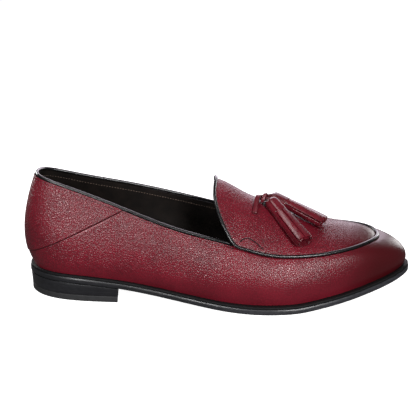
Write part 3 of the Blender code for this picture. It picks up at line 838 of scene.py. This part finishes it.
def make_tassels(sizes, colours):
    light, dark = tinted(colours.leather, 0.60), tinted(colours.leather, 0.34)
    leather = smooth_leather("tassel_leather", light, dark, 0.28, 0.25)
    for seed, (node, full, lift) in enumerate(TASSELS):
        start, end = tassel_axis(node)
        along = (end - start).normalized()
        across = Vector((0, 0, 1)).cross(along).normalized()
        turn = Matrix((along, across, along.cross(across))).transposed()
        rng = random.Random(seed + 5)
        parts = [rolled_cap(sizes.strips), *strips_of(sizes, rng)]
        tassel = joined(node.replace("tassel", "leather_tassel"), parts)
        tassel.data.transform(Matrix.Diagonal((1.0, 1.0, full, 1.0)))
        tassel.data.transform(Matrix.Translation(start + turn @ Vector((0, 0, lift * MM))) @ turn.to_4x4())
        smooth(tassel, 42.0)
        paint(tassel, leather)
        dressed(tassel, "tassel_leather", node)


CAP_PROFILE = (
    # along, half width, half thickness
    (0.9, 1.3, 1.1),
    (1.1, 3.6, 3.2),
    (1.7, 4.7, 4.1),
    (3.2, 5.0, 4.4),
    (7.6, 5.1, 4.5),
    (11.8, 5.15, 4.55),
    (13.0, 5.3, 4.7),
    (13.5, 5.1, 4.5),
    (13.6, 4.2, 3.6),
)
# How far the cap's leather goes round
CAP_TURNS = 1.16
# Each tassel: how full it is against its width, and how far it stands above its solid's axis
TASSELS = (("tassel_side", 1.0, 0.8), ("tassel_front", 0.76, -0.2))


def profile_at(rows, along):
    rows = np.array(rows)
    return [np.interp(along, rows[:, 0], rows[:, column]) for column in range(1, rows.shape[1])]


def rolled_cap(sides):
    """The rolled cap: a soft barrel with a shoulder and a hem, and its roll's free edge along the top."""
    bpy.ops.object.select_all(action="DESELECT")
    bpy.ops.mesh.primitive_grid_add(x_subdivisions=len(CAP_PROFILE) - 1, y_subdivisions=40, size=1.0)
    cap = newly_added("cap")
    mesh = cap.data
    points = points_of(mesh)
    rows = np.rint((points[:, 0] + 0.5) * (len(CAP_PROFILE) - 1)).astype(int)
    round_at = points[:, 1] + 0.5
    profile = np.array(CAP_PROFILE)[rows]
    angle = 2 * math.pi * CAP_TURNS * round_at + math.radians(82)
    swell = 1.0 + 0.03 * np.cos(sides * (angle - math.radians(25)))
    layer = (1.0 + 0.15 * (round_at * CAP_TURNS - 0.5)) * swell
    along, wide, thick = profile.T
    placed = [along + 0.9 * (round_at - 0.5), wide * layer * np.cos(angle), thick * layer * np.sin(angle)]
    mesh.vertices.foreach_set("co", (np.stack(placed, 1) * MM).ravel())
    mesh.update()
    modify(cap, "SOLIDIFY", thickness=0.7 * MM, offset=-1.0)
    round_edges(cap, 0.16, angle=50.0)
    modify(cap, "SUBSURF", levels=1, render_levels=1)
    return settle(cap)


SKIRT_PROFILE = (
    # along, half width, half thickness
    (12.2, 4.2, 3.7),
    (16.0, 4.7, 4.1),
    (24.0, 5.4, 4.4),
    (34.0, 5.9, 4.5),
    (46.0, 6.2, 4.5),
)
# Where the strips start under the cap, and about where they end
STRIP_START, STRIP_END = 12.3, 45.6


def strips_of(sizes, rng):
    """The skirt's cut strips, an outer ring over an inner one."""
    strips = []
    for ring, count, turned in ((1.0, sizes.strips, 0.57), (0.60, sizes.strips - 2, 0.1)):
        for i in range(count):
            centre = 2 * math.pi * (i + turned) / count
            strips.append(cut_strip(centre + rng.uniform(-0.04, 0.04), math.pi / count, ring, sizes, rng))
    return strips


def cut_strip(centre, half_angle, ring, sizes, rng):
    """One strip: a flat cut of leather that faces outwards, its end a little off the others."""
    bpy.ops.object.select_all(action="DESELECT")
    bpy.ops.mesh.primitive_grid_add(x_subdivisions=14, y_subdivisions=4, size=1.0)
    strip = newly_added("strip")
    points = points_of(strip.data)
    length = STRIP_END + rng.uniform(-1.6, 0.4)
    flare, sway, twist = rng.uniform(-0.03, 0.05), rng.uniform(-0.06, 0.06), rng.uniform(-0.16, 0.16)
    wave = rng.uniform(-0.35, 0.35)
    placed = np.empty_like(points)
    for index, (u, v, _) in enumerate(points):
        part = u + 0.5
        along = STRIP_START + (length - STRIP_START) * part
        wide, thick = profile_at(SKIRT_PROFILE, along)
        angle = centre + sway * part
        out = ring * (1.0 + flare * part) + 0.05 * wave * math.sin(part * 5.0)
        facing = angle + twist * part
        middle = np.array([wide * math.cos(angle), thick * math.sin(angle)])
        middle *= out * math.cos(half_angle * 0.6)
        edge = np.array([-wide * math.sin(facing), thick * math.cos(facing)]) * ring
        crown = 1.0 + 0.05 * (1 - (2 * v) ** 2)
        placed[index] = (along, *(middle * crown + edge * 2 * v * math.tan(half_angle) * 0.92))
    strip.data.vertices.foreach_set("co", (placed * MM).ravel())
    strip.data.update()
    modify(strip, "SOLIDIFY", thickness=sizes.strip_thick, offset=-1.0)
    round_edges(strip, 0.15, angle=50.0)
    return settle(strip)


def make_lace(sizes, colours):
    """The lace's knot: a bar, a loose end and a knuckle over it, a thong to each tassel, and a cut end."""
    light, dark = tinted(colours.leather, 0.58), tinted(colours.leather, 0.32)
    leather = smooth_leather("lace_leather", light, dark, 0.34, 0.25)
    parts = [
        strap("loose_end", LOOSE_END, LOOSE_WIDTH, sizes.lace, swell=-0.06),
        strap("knuckle", KNUCKLE, KNUCKLE_WIDTH, sizes.lace, side=(0.92, 0.30, 0.25)),
        strap("bar", BAR, LOOSE_WIDTH, sizes.lace, side=(0.0, 0.35, 1.0)),
        strap("under", UNDER, LOOSE_WIDTH, sizes.lace, side=(0.0, 1.0, -0.2)),
    ]
    for node, _, lift in TASSELS:
        start, end = tassel_axis(node)
        along = (end - start).normalized()
        lifted = start + (Vector((0, 0, 1)) - along * along.z).normalized() * lift * MM
        inside_cap = lifted + along * 3 * MM
        path = smooth_path([*THONGS[node], tuple(lifted / MM), tuple(inside_cap / MM)], 24)
        parts.append(lace_tube("thong", path, sizes.lace * 1.35))
    lace = joined("leather_lace", parts)
    smooth(lace, 50.0)
    paint(lace, leather)
    dressed(lace, "tassel_leather", "lace_knot")
    bpy.ops.object.select_all(action="DESELECT")
    bpy.ops.mesh.primitive_uv_sphere_add(segments=24, ring_count=16, radius=KNOT_END_RADIUS * MM)
    end = newly_added("lace_end")
    with editing(end):
        bpy.ops.transform.resize(value=(1.0, 0.92, 0.8), center_override=(0, 0, 0))
        bpy.ops.transform.translate(value=Vector(KNOT_END) * MM)
    smooth(end, 60.0)
    paint(end, smooth_leather("lace_end_leather", tinted(colours.black, 2.2), colours.black, 0.34, 0.3))
    dressed(end, "black_leather")


def make_stage(colours):
    bpy.ops.object.select_all(action="DESELECT")
    bpy.ops.mesh.primitive_plane_add(size=16.0)
    floor = newly_added("floor")
    shader = Shader("pale_floor", Roughness=0.9, Emission_Strength=0.93, Emission_Color=WHITE)
    cloud = shader.noise(3.0, 2.0)
    shader.feed("Base Color", shader.mixed(cloud, colours.floor, tinted(colours.floor, 0.985)))
    paint(floor, shader.material)
    bpy.ops.object.select_all(action="DESELECT")
    bpy.ops.mesh.primitive_uv_sphere_add(segments=48, ring_count=24, radius=11.0)
    backdrop = newly_added("backdrop")
    backdrop.visible_shadow = False
    glow = Shader("pale_backdrop", Roughness=1.0, Emission_Strength=1.0, Emission_Color=WHITE)
    paint(backdrop, glow.material)
    for sheet in (floor, backdrop):
        sheet.visible_diffuse = sheet.visible_glossy = False
    world = bpy.data.worlds.new("studio")
    world.use_nodes = True
    background = world.node_tree.nodes["Background"]
    background.inputs["Color"].default_value = WHITE
    background.inputs["Strength"].default_value = 0.09
    bpy.context.scene.world = world
    for name, place, aim, size, power, colour in LIGHTS:
        light = bpy.data.lights.new(name, "AREA")
        light.size = size
        light.energy = power
        light.color = colour
        lamp = linked(name, light)
        lamp.location = place
        lamp.rotation_euler = (Vector(aim) - Vector(place)).to_track_quat("-Z", "Y").to_euler()
    camera = bpy.data.cameras.new("camera")
    camera.lens = 75.0
    camera.sensor_width = 36.0
    camera.clip_start = 0.01
    eye = linked("camera", camera)
    eye.location = Vector(CAMERA_AT) * MM
    eye.rotation_euler = (Vector(CAMERA_TO) * MM - eye.location).to_track_quat("-Z", "Y").to_euler()
    bpy.context.scene.camera = eye
    bpy.context.scene.view_settings.view_transform = "Standard"


class LOAFER_OT_upper(bpy.types.Operator):
    """Leather upper with its lining"""

    bl_idname = "loafer.upper"
    bl_label = "Upper"

    def execute(self, context):
        make_upper(context.scene.loafer_sizes, context.scene.loafer_colours)
        return {"FINISHED"}


class LOAFER_OT_piping(bpy.types.Operator):
    """Cords round the apron and the collar"""

    bl_idname = "loafer.piping"
    bl_label = "Piping"

    def execute(self, context):
        make_piping(context.scene.loafer_sizes, context.scene.loafer_colours)
        return {"FINISHED"}


class LOAFER_OT_stitching(bpy.types.Operator):
    """Stitch rows under the collar, on the lining and at the throat corners"""

    bl_idname = "loafer.stitching"
    bl_label = "Stitching"

    def execute(self, context):
        make_stitching(context.scene.loafer_sizes, context.scene.loafer_colours)
        return {"FINISHED"}


class LOAFER_OT_insole(bpy.types.Operator):
    """Sock on the insole"""

    bl_idname = "loafer.insole"
    bl_label = "Insole"

    def execute(self, context):
        make_insole(context.scene.loafer_colours)
        return {"FINISHED"}


class LOAFER_OT_sole(bpy.types.Operator):
    """Outsole and welt"""

    bl_idname = "loafer.sole"
    bl_label = "Sole"

    def execute(self, context):
        make_sole(context.scene.loafer_colours)
        return {"FINISHED"}


class LOAFER_OT_heel(bpy.types.Operator):
    """Stacked heel and its lift"""

    bl_idname = "loafer.heel"
    bl_label = "Heel"

    def execute(self, context):
        make_heel()
        return {"FINISHED"}


class LOAFER_OT_lace(bpy.types.Operator):
    """Knotted lace on the instep"""

    bl_idname = "loafer.lace"
    bl_label = "Lace"

    def execute(self, context):
        make_lace(context.scene.loafer_sizes, context.scene.loafer_colours)
        return {"FINISHED"}


class LOAFER_OT_tassels(bpy.types.Operator):
    """Both tassels, each a rolled cap over cut strips"""

    bl_idname = "loafer.tassels"
    bl_label = "Tassels"

    def execute(self, context):
        make_tassels(context.scene.loafer_sizes, context.scene.loafer_colours)
        return {"FINISHED"}


class LOAFER_OT_stage(bpy.types.Operator):
    """Floor, backdrop, lights and camera"""

    bl_idname = "loafer.stage"
    bl_label = "Stage"

    def execute(self, context):
        make_stage(context.scene.loafer_colours)
        return {"FINISHED"}


OPERATORS = (
    LOAFER_OT_upper,
    LOAFER_OT_piping,
    LOAFER_OT_stitching,
    LOAFER_OT_insole,
    LOAFER_OT_sole,
    LOAFER_OT_heel,
    LOAFER_OT_lace,
    LOAFER_OT_tassels,
    LOAFER_OT_stage,
)


class LOAFER_PT_panel(bpy.types.Panel):
    """Lists the loafer's pieces, sizes and colours."""

    bl_label = "Tassel loafer"
    bl_idname = "LOAFER_PT_panel"
    bl_space_type = "VIEW_3D"
    bl_region_type = "UI"
    bl_category = "Loafer"

    def draw(self, context):
        for operator in OPERATORS:
            self.layout.operator(operator.bl_idname)
        for group in (context.scene.loafer_sizes, context.scene.loafer_colours):
            for name in group.bl_rna.properties.keys():
                if name not in ("rna_type", "name"):
                    self.layout.prop(group, name)


CLASSES = (LoaferSizes, LoaferColours, *OPERATORS, LOAFER_PT_panel)


def register():
    for cls in CLASSES:
        bpy.utils.register_class(cls)
    bpy.types.Scene.loafer_sizes = PointerProperty(type=LoaferSizes)
    bpy.types.Scene.loafer_colours = PointerProperty(type=LoaferColours)


def unregister():
    del bpy.types.Scene.loafer_sizes
    del bpy.types.Scene.loafer_colours
    for cls in reversed(CLASSES):
        bpy.utils.unregister_class(cls)


def main():
    register()
    for step in ("upper", "piping", "stitching", "insole", "sole", "heel", "lace", "tassels", "stage"):
        getattr(bpy.ops.loafer, step)()


if __name__ == "__main__":
    main()
